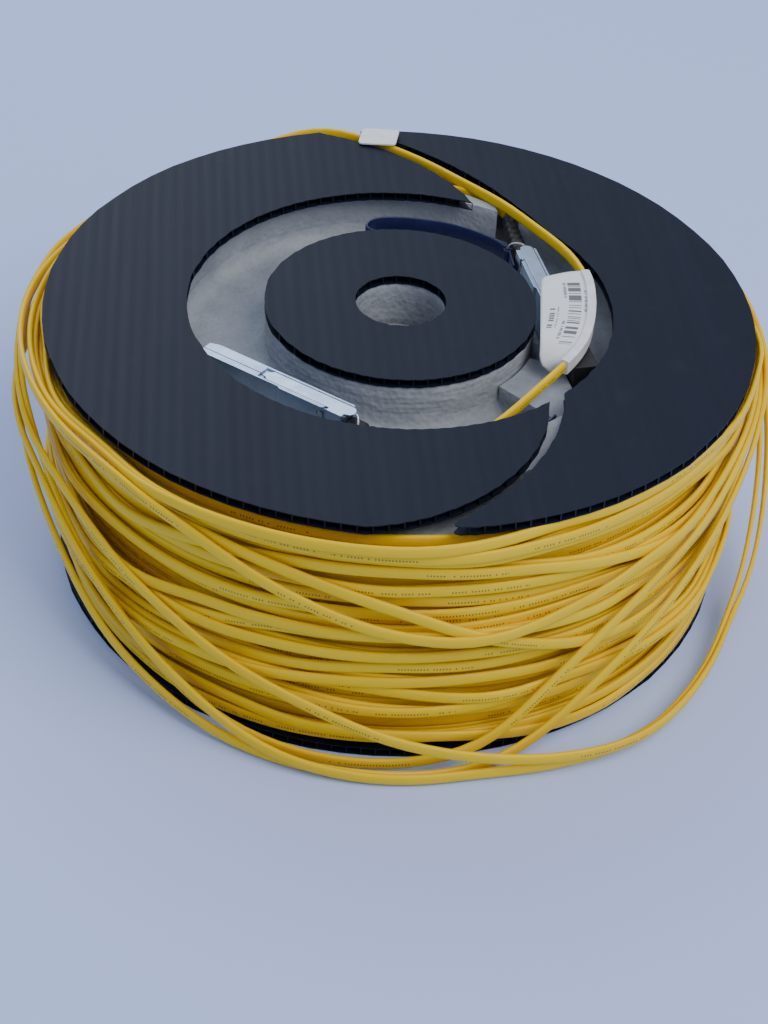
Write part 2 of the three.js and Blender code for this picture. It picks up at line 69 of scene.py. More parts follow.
# ---- the cable's two ends, in millimetres, as the CAD has them ----
LEAD_A_ROUTE = [
    (47.2, 87.6, 111.6), (45.4, 92, 113.2), (41, 96.2, 114.6), (35.8, 99.6, 115.2),
    (29.5, 103.2, 114.8), (19, 107.4, 113.6), (8, 110.4, 113.2), (-4, 112.6, 113.2),
    (-14, 113.8, 113.2),
]
LEAD_B_ROUTE = [
    (12.9, -86.1, 105.9), (20.5, -85.6, 106.2), (29.5, -80.8, 107.6), (38, -74.8, 110),
    (46.5, -66.8, 113), (54.2, -57.8, 116), (62, -48.5, 118.3), (69.8, -38, 119.6),
    (75.8, -26, 120.1), (79.2, -13, 120.3), (80.7, 0, 120.3), (81, 12, 120.2),
    (80.4, 22, 120.1), (78.3, 31.7, 120), (74.5, 43, 119.7), (68.6, 53.6, 119.4),
    (62.6, 62.3, 119.1), (57.4, 69.3, 118.9), (48.2, 83, 118.6), (38.7, 93.8, 118.3),
    (28.5, 103, 118.2), (18.5, 112.5, 118.2), (7.5, 122.4, 118.2), (-3.5, 130.6, 118.2),
    (-15, 137.5, 118.2), (-27.5, 144.8, 118), (-41, 150.6, 117), (-55, 149.6, 115),
    (-68.5, 142.4, 112),
]


def at(radius, degrees, z=0.0):
    """A point of the reel from its radius, its angle and its height."""
    turn = math.radians(degrees)
    return (radius * math.cos(turn), radius * math.sin(turn), z)


# ---- camera ----
camera = bpy.data.objects.new("camera", bpy.data.cameras.new("camera"))
bpy.context.scene.collection.objects.link(camera)
bpy.context.scene.camera = camera
camera.data.lens = 64.6
pitch, roll = math.radians(39.57), math.radians(3.49)
ahead = Vector((0, math.cos(pitch), -math.sin(pitch)))
upright = Vector((0, math.sin(pitch), math.cos(pitch)))
level = Vector((1, 0, 0))
right = math.cos(roll) * level + math.sin(roll) * upright
up = math.cos(roll) * upright - math.sin(roll) * level
camera.matrix_world = Matrix.Translation(Vector((-1.6, -656.5, 546)) * MM) @ Matrix(
    (right, up, -ahead)
).transposed().to_4x4()


# ---- the cable's route ----
def smooth_route(points, step=1.5):
    """Points about step apart on a smooth curve through the given points."""
    p = np.array(points, float)
    padded = np.vstack([2 * p[0] - p[1], p, 2 * p[-1] - p[-2]])
    out = []
    for a, b, c, d in zip(padded, padded[1:], padded[2:], padded[3:]):
        n = max(2, math.ceil(np.linalg.norm(c - b) / step))
        t = (np.arange(n) / n)[:, None]
        out.append(
            0.5 * (2 * b + (c - a) * t + (2 * a - 5 * b + 4 * c - d) * t**2
                   + (3 * b - a - 3 * c + d) * t**3)
        )
    return np.vstack([*out, p[-1:]])


def evened(line, step):
    """The line again, with points the same distance apart."""
    along = np.concatenate([[0], np.cumsum(np.linalg.norm(np.diff(line, axis=0), axis=1))])
    marks = np.linspace(0, along[-1], round(along[-1] / step) + 1)
    return np.stack([np.interp(marks, along, line[:, k]) for k in range(line.shape[1])], axis=1)


def eased(values, reach):
    """The values with their corners rounded over reach steps each way."""
    weights = np.hanning(2 * reach + 3)[1:-1]
    ends = np.pad(values, reach, mode="edge")
    return np.convolve(ends, weights / weights.sum(), mode="valid")


STEP_DEG = 0.5  # of the laid turns
BIN_MM = 0.5  # of height on the pile
LOOK_AHEAD = 36  # steps over which a turn climbs before it meets a higher place
SETTLE = 0.92  # how much of its thickness a turn keeps under the next one


class Pile:
    """How far out the turns already laid on the reel reach, round it and up it."""

    def __init__(self, radius):
        self.out = np.full((round(360 / STEP_DEG), round(REEL_H / BIN_MM) + 1), float(radius))

    def bins(self, z):
        half = CABLE_WIDTH / 2
        low = np.clip(((z - half) / BIN_MM).round().astype(int), 0, self.out.shape[1] - 1)
        high = np.clip(((z + half) / BIN_MM).round().astype(int), 1, self.out.shape[1])
        return low, high

    def lay(self, degrees, z, wanted, slope=0.16, lag=60):
        """The radius of each point of a run of turns that lies on those below it."""
        low, high = self.bins(z)
        column = (degrees / STEP_DEG).round().astype(int) % self.out.shape[0]
        look, fall = LOOK_AHEAD, slope * math.radians(STEP_DEG) * REEL_R
        radius = np.zeros(len(z))
        need = np.zeros(len(z))
        done, behind = 0, round(lag / STEP_DEG)
        for i in range(len(z) + look):
            if i < len(z):
                need[i] = max(
                    self.out[column[i], low[i] : high[i]].max() + CABLE_THICK / 2, wanted[i]
                )
            j = i - look
            if j < 0:
                continue
            ahead_of = need[j : j + look]
            most = (ahead_of - fall * np.arange(len(ahead_of))).max()
            radius[j] = max(most, radius[j - 1] - fall if j else 0)
            done = j - behind
            if done >= 0:
                self.mark(column[done], low[done], high[done], radius[done])
        for j in range(max(done + 1, 0), len(z)):
            self.mark(column[j], low[j], high[j], radius[j])
        return radius

    def mark(self, column, low, high, radius):
        strip = self.out[column, low:high]
        np.maximum(strip, radius + CABLE_THICK / 2 * SETTLE, out=strip)


def wander(rng, count, every, size):
    """A smooth random walk about nought, one value for each half degree."""
    marks = np.arange(0, count + 2 * every, every)
    heights = rng.normal(0, size, len(marks))
    return eased(np.interp(np.arange(count), marks, heights), every // 2)


# Slack turns over the neat ones, each a full turn clockwise: angle, height, radius.
SLACK_TURNS = [
    [(120, 108, 150), (60, 102, 150), (0, 90, 152.5), (-20, 76, 153), (-35, 60, 153.5), (-47, 51, 153.5),
     (-60, 53, 153.5), (-75, 68, 153), (-90, 84, 152.5), (-108, 97, 152.5), (-130, 104, 153), (-180, 107, 153)],
    [(120, 108, 152), (90, 111, 149), (60, 113.3, 141), (20, 113.4, 139.5), (-20, 113.4, 139.5),
     (-60, 113.4, 141), (-72, 113.4, 144.5), (-82, 113.4, 149.5), (-92, 113, 152), (-120, 112.5, 152.3),
     (-150, 111, 152.5), (-200, 108, 152)],
    [(120, 106, 152), (60, 104, 152), (20, 106, 153), (0, 104, 153), (-20, 100, 153), (-43, 88, 154),
     (-58, 77, 154.5), (-73, 69, 155), (-88, 71, 155), (-108, 90, 155), (-126, 109, 156), (-150, 111, 158),
     (-170, 110, 159.5), (-185, 108, 159.5), (-200, 106, 158), (-215, 104, 156)],
    [(120, 100, 153), (60, 96, 153), (10, 100, 154), (-20, 98, 155), (-33, 86, 155), (-45, 72, 155),
     (-58, 52, 155), (-68, 26, 156), (-75, 10, 157), (-90, 4, 158), (-105, 5, 157), (-118, 13, 155.5),
     (-130, 32, 155.5), (-144, 58, 157), (-156, 86, 159), (-170, 100, 160), (-190, 104, 159), (-215, 100, 156)],
    [(120, 98, 153), (70, 100, 154), (30, 106, 155), (0, 104, 156), (-20, 92, 157), (-36, 66, 157),
     (-56, 31, 157), (-68, 8, 159), (-80, 3.2, 163), (-96, 3.2, 163), (-112, 4, 160), (-125, 12, 158),
     (-137, 25, 158.5), (-149, 50, 160), (-160, 72, 162), (-172, 88, 161.5), (-190, 98, 160), (-215, 98, 156)],
    [(120, 96, 153), (80, 94, 154), (45, 96, 157), (20, 88, 160), (5, 70, 163), (-8, 40, 163), (-18, 16, 163),
     (-28, 8, 163), (-38, 7, 168), (-50, 6, 173), (-58, 5, 171), (-66, 4, 163), (-76, 3.5, 160),
     (-90, 3.5, 160.5), (-105, 8, 159), (-120, 22, 158), (-140, 52, 158), (-160, 80, 158), (-200, 90, 157)],
    [(120, 92, 154), (80, 96, 157), (50, 98, 163), (28, 88, 169), (12, 64, 172), (0, 34, 170), (-12, 14, 167),
     (-27, 9, 163.5), (-43, 8, 160), (-53, 8, 158.5), (-62, 9, 157), (-75, 14, 156), (-90, 22, 156),
     (-110, 40, 156), (-130, 64, 156.5), (-150, 84, 158), (-175, 98, 159), (-200, 104, 157), (-228, 110, 156.5)],
]
NEAT_TURNS = 20  # the inner layer, side by side
LOOSE_SWEEPS = [11, -7, 8]  # turns in each sweep up or down over it
LOOSE_TURNS = sum(abs(turns) for turns in LOOSE_SWEEPS)
TOP_Z, BOTTOM_Z = 113, 7  # the highest and lowest turn's middle
START_DEG, SLACK_DEG = 135, 120  # where the neat and the slack turns begin


def wound():
    """The wound part of the cable, clockwise: a neat layer down the foam, a loose one up, slack turns."""
    rng = np.random.default_rng(11)
    per_turn = round(360 / STEP_DEG)
    neat = NEAT_TURNS * per_turn
    loose = LOOSE_TURNS * per_turn + round((START_DEG - SLACK_DEG) / STEP_DEG)
    slack = np.array([
        (angle - 360 * n, height, radius)
        for n, turn in enumerate(SLACK_TURNS)
        for angle, height, radius in turn
    ] + [(SLACK_DEG - 4 - 360 * len(SLACK_TURNS), 111.6, 157.8)])
    slack = smooth_route(slack, 2.0)[::-1]
    angles = np.arange(SLACK_DEG - STEP_DEG, slack[0, 0], -STEP_DEG)
    degrees = np.concatenate([START_DEG - np.arange(neat + loose) * STEP_DEG, angles])
    z, wanted = np.empty(len(degrees)), np.zeros(len(degrees))

    z[:neat] = TOP_Z + (BOTTOM_Z - TOP_Z) * np.arange(neat) / neat
    wanted[:per_turn] = 140.8 + (144.6 - 140.8) * np.clip(np.arange(per_turn) / 80, 0, 1)
    # the loose layer is fanned out in front, and gathered upwards at the sides and the back
    over = slice(neat, neat + loose)
    share = np.arange(loose) / loose
    off_front = np.abs((degrees[over] + 90 + 180) % 360 - 180)
    lift = 16 * (0.5 - 0.5 * np.cos(math.pi * np.clip((off_front - 35) / 75, 0, 1)))
    begun = np.clip(share * LOOSE_TURNS * 1.5, 0, 1)
    low = BOTTOM_Z + lift * begun
    strays = wander(rng, loose, 90, 4.5) + wander(rng, loose, 30, 1.1)
    marks = np.cumsum([0] + [abs(turns) for turns in LOOSE_SWEEPS]) / LOOSE_TURNS
    height = np.interp(share, marks, [0, *((turns > 0) * 1.0 for turns in LOOSE_SWEEPS)])
    z[over] = low + (TOP_Z - 1 - low) * height + strays * begun
    z[over] = np.clip(z[over], BOTTOM_Z, TOP_Z)
    wanted[over] = 147.2 + wander(rng, loose, 60, 0.5)
    z[neat + loose :] = np.interp(angles, slack[:, 0], slack[:, 1])
    wanted[neat + loose :] = np.interp(angles, slack[:, 0], slack[:, 2])
    z = eased(z, 12)
    radius = eased(Pile(CORE_R).lay(degrees, z, wanted), 6)
    return degrees, z, radius


def cable_line():
    """The whole cable's middle line, from module a to module b, in even steps."""
    degrees, z, radius = wound()
    turns = np.stack(
        [radius * np.cos(np.radians(degrees)), radius * np.sin(np.radians(degrees)), z], axis=1
    )
    # under the left board lead a turns back on itself in a hairpin, and goes on clockwise
    hairpin = [at(120.4, 104, 113.2), at(121, 120, 113.2), at(121, 140, 113.2), at(120.8, 158, 113.2),
               at(120.8, 168, 113.2), at(122.4, 173.5, 113.2), at(126.4, 177, 113.2), at(131, 178.2, 113.2),
               at(135.6, 177, 113.2), at(139, 173.5, 113.2), at(140.6, 168, 113.2), at(140.8, 152, 113.2)]
    lead_a = smooth_route([*LEAD_A_ROUTE, *hairpin, tuple(turns[6])])
    lead_b = smooth_route([tuple(turns[-8]), *LEAD_B_ROUTE[::-1]])
    line = evened(np.vstack([lead_a, turns[7:-8], lead_b]), CABLE_STEP)
    return np.stack([eased(line[:, k], 2) for k in range(3)], axis=1)


CABLE_STEP = 7.5
CABLE_SIDES = 4  # steps round each edge of the flat section
cable_route = cable_line()


# ---- shared ways of making meshes ----
def piece(name, mesh, body="reel", finish=None, replaced=()):
    """A finished mesh as a piece that rides on a body and stands for CAD nodes."""
    made = bpy.data.objects.new(name, mesh)
    bpy.context.scene.collection.objects.link(made)
    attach(made, body)
    if replaced:
        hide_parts(*replaced)
    if finish:
        mesh.materials.clear()
        mesh.materials.append(finish.material)
    return made


def mesh_from(bm, name, smooth_deg=40):
    """The bmesh as a mesh, smooth but for edges sharper than the angle."""
    mesh = bpy.data.meshes.new(name)
    bm.to_mesh(mesh)
    bm.free()
    mesh.shade_smooth()
    mesh.set_sharp_from_angle(angle=math.radians(smooth_deg))
    return mesh


def node_copy(name, dissolve=True):
    """A CAD node's shape as a bmesh of joined faces."""
    bm = bmesh.new()
    bm.from_mesh(nodes[name].data)
    bmesh.ops.remove_doubles(bm, verts=bm.verts, dist=0.002 * MM)
    if dissolve:
        bmesh.ops.dissolve_limit(bm, angle_limit=math.radians(1), verts=bm.verts, edges=bm.edges)
    return bm


def sharp_edges(bm, degrees):
    return [
        e for e in bm.edges
        if len(e.link_faces) == 2 and e.calc_face_angle(0) > math.radians(degrees)
    ]


def soften(bm, width, degrees=30, segments=2):
    """Rounds the edges that are sharper than the angle."""
    bmesh.ops.bevel(
        bm, geom=sharp_edges(bm, degrees), offset=width * MM, offset_type="OFFSET", affect="EDGES",
        segments=segments, profile=0.5, material=-1, clamp_overlap=True,
    )


def cable_mesh(line, name):
    """The flat cable along a line: a curve with a flat section, made a mesh that knows its own length."""
    section = bpy.data.curves.new("section", "CURVE")
    half, rim = (CABLE_WIDTH - CABLE_THICK) / 2, CABLE_THICK / 2
    angles = [k * math.pi / CABLE_SIDES for k in range(CABLE_SIDES + 1)]
    outline = [(-rim * math.cos(a), half + rim * math.sin(a)) for a in angles]
    outline += [(-x, -y) for x, y in outline]
    spline = section.splines.new("POLY")
    spline.points.add(len(outline) - 1)
    for point, (x, y) in zip(spline.points, outline):
        point.co = (x * MM, y * MM, 0, 1)
    spline.use_cyclic_u = True
    holder = bpy.data.objects.new("section", section)
    curve = bpy.data.curves.new(name, "CURVE")
    curve.dimensions, curve.twist_mode, curve.bevel_mode = "3D", "Z_UP", "OBJECT"
    curve.bevel_object = holder
    spline = curve.splines.new("POLY")
    spline.points.add(len(line) - 1)
    spline.points.foreach_set("co", np.column_stack([line * MM, np.ones(len(line))]).ravel())
    laid = bpy.data.objects.new(name, curve)
    bpy.context.scene.collection.objects.link(laid)
    mesh = bpy.data.meshes.new_from_object(laid.evaluated_get(bpy.context.evaluated_depsgraph_get()))
    bpy.data.objects.remove(laid)
    bpy.data.objects.remove(holder)
    # each point's place along the cable, across it and through it, in millimetres
    rings = len(line)
    place = np.empty((rings, len(outline), 3), np.float32)
    place[:, :, 0] = (np.arange(rings) * CABLE_STEP)[:, None]
    place[:, :, 1:] = np.array(outline, np.float32)[None, :, ::-1]
    marks = mesh.attributes.new("cable_place", "FLOAT_VECTOR", "POINT")
    marks.data.foreach_set("vector", place.ravel())
    bm = bmesh.new()
    bm.from_mesh(mesh)
    bmesh.ops.holes_fill(bm, edges=[e for e in bm.edges if e.is_boundary], sides=0)
    bmesh.ops.recalc_face_normals(bm, faces=bm.faces)
    bm.to_mesh(mesh)
    bm.free()
    mesh.shade_smooth()
    mesh.set_sharp_from_angle(angle=math.radians(60))
    return mesh


# ---- materials ----
class Value:
    """A number or a vector in a material, which Python's own signs work on."""

    def __init__(self, finish, socket):
        self.finish, self.socket = finish, socket

    def maths(self, operation, *values):
        return self.finish.node("ShaderNodeMath", {"operation": operation}, dict(enumerate(values)))

    def __add__(self, other):
        return self.maths("ADD", self, other)

    def __sub__(self, other):
        return self.maths("SUBTRACT", self, other)

    def __rsub__(self, other):
        return self.maths("SUBTRACT", other, self)

    def __mul__(self, other):
        return self.maths("MULTIPLY", self, other)

    def __truediv__(self, other):
        return self.maths("DIVIDE", self, other)

    def __gt__(self, other):
        return self.maths("GREATER_THAN", self, other)

    def __lt__(self, other):
        return self.maths("LESS_THAN", self, other)

    def __abs__(self):
        return self.maths("ABSOLUTE", self)

    def floor(self):
        return self.maths("FLOOR", self)

    def fract(self):
        return self.maths("FRACT", self)

    def wave(self):
        return self.maths("SINE", self)

    def within(self, low, high):
        """The value as a share of the way from low to high, kept within nought and one."""
        return self.finish.node(
            "ShaderNodeMapRange", {"clamp": True},
            {"Value": self, "From Min": low, "From Max": high, "To Min": 0.0, "To Max": 1.0},
        )

    __radd__, __rmul__ = __add__, __mul__


class Finish:
    """One material and the nodes in it."""

    def __init__(self, name, **constants):
        self.material = bpy.data.materials.new(name)
        self.material.use_nodes = True
        self.tree = self.material.node_tree
        self.shader = self.tree.nodes["Principled BSDF"]
        for socket, value in constants.items():
            self.put(socket.replace("_", " "), value)

    def put(self, socket, value):
        """Sets one of the shader's sockets, or links a value to it."""
        self.join(self.shader.inputs[socket], value)

    def join(self, socket, value):
        if isinstance(value, Value):
            self.tree.links.new(value.socket, socket)
        elif isinstance(value, (tuple, list)) and socket.type == "RGBA":
            socket.default_value = (*value[:3], 1)
        else:
            socket.default_value = value

    def node(self, kind, settings=None, values=None, out=0):
        """A node from its type, its settings and its sockets' values or links."""
        made = self.tree.nodes.new(kind)
        for name, setting in (settings or {}).items():
            if name == "stops":
                for element, (position, colour) in zip(made.color_ramp.elements, setting):
                    element.position, element.color = position, (*colour, 1)
            else:
                setattr(made, name, setting)
        for name, value in (values or {}).items():
            self.join(made.inputs[name], value)
        return Value(self, made.outputs[out])

    def place(self, attribute=None):
        """Where a point is: in the row's frame, or on the piece's own attribute."""
        if attribute:
            return self.node("ShaderNodeAttribute", {"attribute_name": attribute}, out="Vector")
        return self.node("ShaderNodeTexCoord", out="Object")

    def mapped(self, place, scale=(1, 1, 1), turn=(0, 0, 0), shift=(0, 0, 0)):
        return self.node(
            "ShaderNodeMapping", None, {"Vector": place, "Scale": scale, "Rotation": turn, "Location": shift}
        )

    def parts(self, place):
        """A vector's three numbers."""
        split = self.node("ShaderNodeSeparateXYZ", None, {0: place}).socket.node
        return [Value(self, socket) for socket in split.outputs]

    def grain(self, place, scale, detail=3.0, roughness=0.55):
        return self.node(
            "ShaderNodeTexNoise", None,
            {"Vector": place, "Scale": scale, "Detail": detail, "Roughness": roughness},
        )

    def cells(self, place, scale, feature="F1", out="Distance"):
        return self.node(
            "ShaderNodeTexVoronoi", {"feature": feature}, {"Vector": place, "Scale": scale}, out=out
        )

    def chance(self, number):
        """A number from nought to one that is settled by another number."""
        return self.node("ShaderNodeTexWhiteNoise", {"noise_dimensions": "1D"}, {"W": number})

    def mix(self, share, first, second):
        """A colour between two."""
        return self.node("ShaderNodeMix", {"data_type": "RGBA"}, {0: share, 6: first, 7: second}, out=2)

    def relief(self, height, depth, strength=1.0):
        self.put("Normal", self.node(
            "ShaderNodeBump", None, {"Height": height, "Distance": depth * MM, "Strength": strength}
        ))


def jacket_finish():
    """Yellow flat cable: satin plastic with scuffs, tone changes along it and rows of ink marks."""
    f = Finish("jacket", Specular_IOR_Level=0.28)
    along, across, through = f.parts(f.place("cable_place"))
    tone = f.grain(f.mapped(f.place("cable_place"), (0.012, 0.0, 0.0)), 1.0, 2.0)
    fine = f.grain(f.mapped(f.place("cable_place"), (0.15, 0.9, 0.9)), 1.0, 3.0)
    body = f.mix(tone.within(0.3, 0.7), (0.83, 0.53, 0.003), (0.91, 0.62, 0.006))
    body = f.mix(fine.within(0.35, 0.75) * 0.35, body, (0.74, 0.46, 0.003))
    # ink marks: cells in a row, on one wide side, in groups with gaps between
    group = along / 38.0
    shown = f.chance(group.floor()) > 0.62
    inside = (group.fract() > 0.06) * (group.fract() < 0.9)
    cell = along / 1.25
    printed = f.chance(cell.floor()) > 0.2
    stroke = (cell.fract() > 0.2) * (cell.fract() < 0.65)
    middle = across + 0.25
    line = abs(middle) < 0.42
    outer = through < 0.0
    ink = shown * inside * printed * stroke * line * outer
    f.put("Base Color", f.mix(ink * 0.8, body, (0.05, 0.045, 0.03)))
    f.put("Roughness", 0.36 + 0.16 * fine)
    f.relief(fine, 0.05, 0.5)
    return f


def board_finish(name):
    """Black fluted plastic: a faint ridge over each flute wall, drawn streaks, scuffs."""
    f = Finish(name, Specular_IOR_Level=0.2)
    turned = f.mapped(f.place(), (1, 1, 1), (0, 0, -FLUTE_TURN))
    x, y, z = f.parts(turned)
    drift = f.grain(f.mapped(turned, (40, 3, 3)), 1.0, 1.0)
    ridge = ((x + drift * (1.6 * MM)) * (2 * math.pi / (FLUTE_PITCH * MM))).wave()
    streak = f.grain(f.mapped(turned, (620, 9, 60)), 1.0, 3.0, 0.6)
    band = f.grain(f.mapped(turned, (110, 5, 20)), 1.0, 2.0)
    scuff = f.grain(f.place(), 55.0, 4.0, 0.65)
    tone = streak.within(0.35, 0.72) * 0.5 + band.within(0.35, 0.7) * 0.5
    body = f.mix(tone, (0.0040, 0.0065, 0.0170), (0.0075, 0.0110, 0.0250))
    body = f.mix(scuff.within(0.58, 0.8) * 0.3, body, (0.020, 0.023, 0.030))
    f.put("Base Color", body)
    f.put("Roughness", 0.44 + 0.14 * streak - 0.02 * ridge)
    f.relief(ridge * 0.22 * band + streak * 0.1 + band * 0.9 + scuff * 0.2, 0.2, 0.5)
    return f


def foam_finish():
    """Pale closed-cell foam: small bubbles with painted shade in their pits, a cloudy tone, a satin skin."""
    f = Finish("foam", Roughness=0.7, Specular_IOR_Level=0.35)
    cells = f.cells(f.place(), 420.0)
    big = f.cells(f.place(), 150.0)
    cloud = f.grain(f.place(), 38.0, 4.0, 0.6)
    body = f.mix(cloud.within(0.3, 0.7), (0.25, 0.275, 0.315), (0.37, 0.395, 0.435))
    # painted shade: the middle of each bubble, where the bump dips into a pit, is painted darker
    body = f.mix(cells.within(0.45, 0.0) * 0.22, body, (0.16, 0.18, 0.215))
    f.put("Base Color", body)
    f.put("Roughness", 0.5 + 0.3 * cloud)
    f.relief(cells * 0.6 + big * 0.8 + cloud * 0.5, 0.9, 0.55)
    return f


def metal_finish(name, colour, roughness, grain_axis):
    """Plated metal: fine brushing along it, a little dulling."""
    f = Finish(name, Metallic=1.0, Specular_IOR_Level=0.5)
    brushed = f.grain(f.mapped(f.place(), grain_axis), 1.0, 3.0, 0.6)
    dull = f.grain(f.place(), 160.0, 3.0)
    f.put("Base Color", f.mix(dull.within(0.4, 0.75), colour, tuple(c * 0.8 for c in colour)))
    f.put("Roughness", roughness + 0.1 * brushed + 0.1 * dull)
    f.relief(brushed + dull * 0.4, 0.02, 0.35)
    return f


def moulded_finish(name, colour, roughness, coat=0.0):
    """Moulded plastic or rubber: a fine spark texture and worn, paler high spots."""
    f = Finish(name, Specular_IOR_Level=0.5, Coat_Weight=coat, Coat_Roughness=0.12)
    spark = f.grain(f.place(), 1500.0, 2.0)
    worn = f.grain(f.place(), 180.0, 4.0, 0.65)
    rubbed = tuple(min(1.0, c * 1.6 + 0.004) for c in colour)
    f.put("Base Color", f.mix(worn.within(0.45, 0.8) * 0.6, colour, rubbed))
    f.put("Roughness", roughness + 0.12 * worn)
    f.relief(spark + worn * 0.6, 0.03, 0.5)
    return f


def printed_finish():
    """Label paper with a column of bars across it and rows of small plain dashes beside them."""
    f = Finish("printed", Roughness=0.4, Specular_IOR_Level=0.35)
    along, out, _ = f.parts(f.place("label_place"))
    cloud = f.grain(f.place(), 90.0, 3.0)
    body = f.mix(cloud.within(0.3, 0.7), (0.70, 0.72, 0.75), (0.78, 0.79, 0.81))

    def band(value, low, high):
        return (value > low) * (value < high)

    bars = (f.chance((along / 0.62).floor() + 3.0) > 0.47) * band(out, 4.2, 9.6) * band(along, 9.0, 58.0)
    ink = bars
    for seed, low, high, start, end, pitch in (
        (5.0, 1.9, 3.0, 34.0, 52.0, 0.8), (9.0, 10.3, 11.6, 12.0, 26.0, 0.7),
        (13.0, 10.3, 11.6, 45.0, 58.0, 0.7),
        (17.0, 13.6, 14.2, 20.0, 38.0, 0.6), (21.0, 15.2, 17.4, 20.0, 38.0, 1.9),
    ):
        cell = along / pitch
        dash = (f.chance(cell.floor() + seed) > 0.2) * (cell.fract() > 0.3)
        ink = ink + dash * band(out, low, high) * band(along, start, end)
    f.put("Base Color", f.mix(ink.within(0.0, 1.0) * 0.85, body, (0.03, 0.032, 0.04)))
    f.relief(cloud, 0.04, 0.4)
    return f


jacket = jacket_finish()
board = board_finish("board")
foam = foam_finish()
shell_metal = metal_finish("shell", (0.50, 0.60, 0.76), 0.24, (900, 900, 40))
slider_metal = metal_finish("slider", (0.58, 0.67, 0.82), 0.2, (60, 60, 900))
wire_metal = metal_finish("wire", (0.62, 0.63, 0.65), 0.22, (200, 200, 200))
cap_plastic = moulded_finish("cap", (0.012, 0.012, 0.014), 0.4)
boot_rubber = moulded_finish("boot", (0.011, 0.011, 0.013), 0.5)
strap_plastic = moulded_finish("strap", (0.004, 0.007, 0.055), 0.3, 0.15)
laminate = moulded_finish("laminate", (0.012, 0.11, 0.05), 0.35, 0.2)
label_paper = moulded_finish("label", (0.74, 0.75, 0.77), 0.42)
sleeve_paper = moulded_finish("sleeve", (0.70, 0.71, 0.72), 0.34)
printed_paper = printed_finish()

# ---- the cable ----
cable = piece(
    "cable", cable_mesh(cable_route, "cable"), finish=jacket,
    replaced=["cable_winding", "loose_turn_low", "loose_turn_high", "loose_turn_side", "lead_a", "lead_b"],
)

# ---- fluted boards ----
SKIN_T = 0.45
RIB_T = 0.6


def across_flutes(point):
    """How far a point is across the flutes, in millimetres."""
    return (point.x * math.cos(FLUTE_TURN) + point.y * math.sin(FLUTE_TURN)) / MM


def layer(name, low, high, inset=0.0):
    """A board's outline between two heights over its underside, in millimetres."""
    bm = node_copy(name, dissolve=False)
    bottom = min(v.co.z for v in bm.verts)
    for v in bm.verts:
        outwards = Vector((v.normal.x, v.normal.y, 0))
        share = (v.co.z - bottom) / (BOARD_T * MM)
        v.co.z = bottom + (low + (high - low) * share) * MM
        if outwards.length:
            v.co -= outwards.normalized() * inset * MM
    return bm


def skin(name, low):
    """One skin of a board, its cut edge pressed in between the flute walls."""
    bm = layer(name, low, low + SKIN_T)
    bmesh.ops.dissolve_limit(bm, angle_limit=math.radians(0.5), verts=bm.verts, edges=bm.edges)
    rim = [e for e in sharp_edges(bm, 60) if e.calc_length() > 1.6 * MM]
    for cuts in (1, 2, 4):
        longer = [e for e in rim if e.is_valid and e.calc_length() > (cuts + 0.6) * 1.5 * MM
                  and e.calc_length() <= (2 * cuts + 0.6) * 1.5 * MM]
        if longer:
            bmesh.ops.subdivide_edges(bm, edges=longer, cuts=cuts)
    bm.normal_update()
    for v in bm.verts:
        outwards = Vector((v.normal.x, v.normal.y, 0))
        if outwards.length > 0.1:
            phase = across_flutes(v.co) / FLUTE_PITCH * math.pi
            pressed = 0.38 * abs(math.cos(phase)) + 0.25 * noise.noise(v.co * 90)
            v.co -= outwards.normalized() * max(0.0, pressed) * MM
    return bm


def fluted_board(name, finish):
    """A board of two skins with upright walls between them, open where it is cut."""
    whole = bmesh.new()
    for bm in (skin(name, 0), skin(name, BOARD_T - SKIN_T)):
        add_to(whole, bm)
    middle = layer(name, SKIN_T * 0.8, BOARD_T - SKIN_T * 0.8, inset=0.45)
    crosswise = Vector((math.cos(FLUTE_TURN), math.sin(FLUTE_TURN), 0))
    reach = [across_flutes(v.co) for v in middle.verts]
    for k in range(math.ceil(min(reach) / FLUTE_PITCH), math.floor(max(reach) / FLUTE_PITCH) + 1):
        rib = middle.copy()
        for side in (1, -1):
            bmesh.ops.bisect_plane(
                rib, geom=[*rib.verts, *rib.edges, *rib.faces],
                plane_co=crosswise * (k * FLUTE_PITCH + side * RIB_T / 2) * MM,
                plane_no=crosswise * side, clear_outer=True, dist=1e-7,
            )
            bmesh.ops.holes_fill(rib, edges=[e for e in rib.edges if e.is_boundary], sides=0)
        add_to(whole, rib)
    middle.free()
    return piece(name + "_board", mesh_from(whole, name + "_board", 25), finish=finish,
                 replaced=[name])


def add_to(whole, bm):
    """Puts one bmesh into another, and frees it."""
    part = bpy.data.meshes.new("part")
    bm.to_mesh(part)
    bm.free()
    whole.from_mesh(part)
    bpy.data.meshes.remove(part)


for name in ("lower_flange", "upper_flange_left", "upper_flange_right", "middle_disc"):
    fluted_board(name, board)


# ---- foam ----
def rippled(bm, height, size, striations=0.0):
    """Lifts and lowers a foam surface a little, with fine level lines on its walls."""
    bm.normal_update()
    moves = []
    for v in bm.verts:
        wave = noise.fractal(v.co * size, 0.7, 2.0, 3) * height
        level = noise.noise(Vector((v.co.x * 30, v.co.y * 30, v.co.z * 900)))
        lines = striations * level * (1 - abs(v.normal.z))
        moves.append(v.normal * (wave + lines) * MM)
    for v, move in zip(bm.verts, moves):
        v.co += move


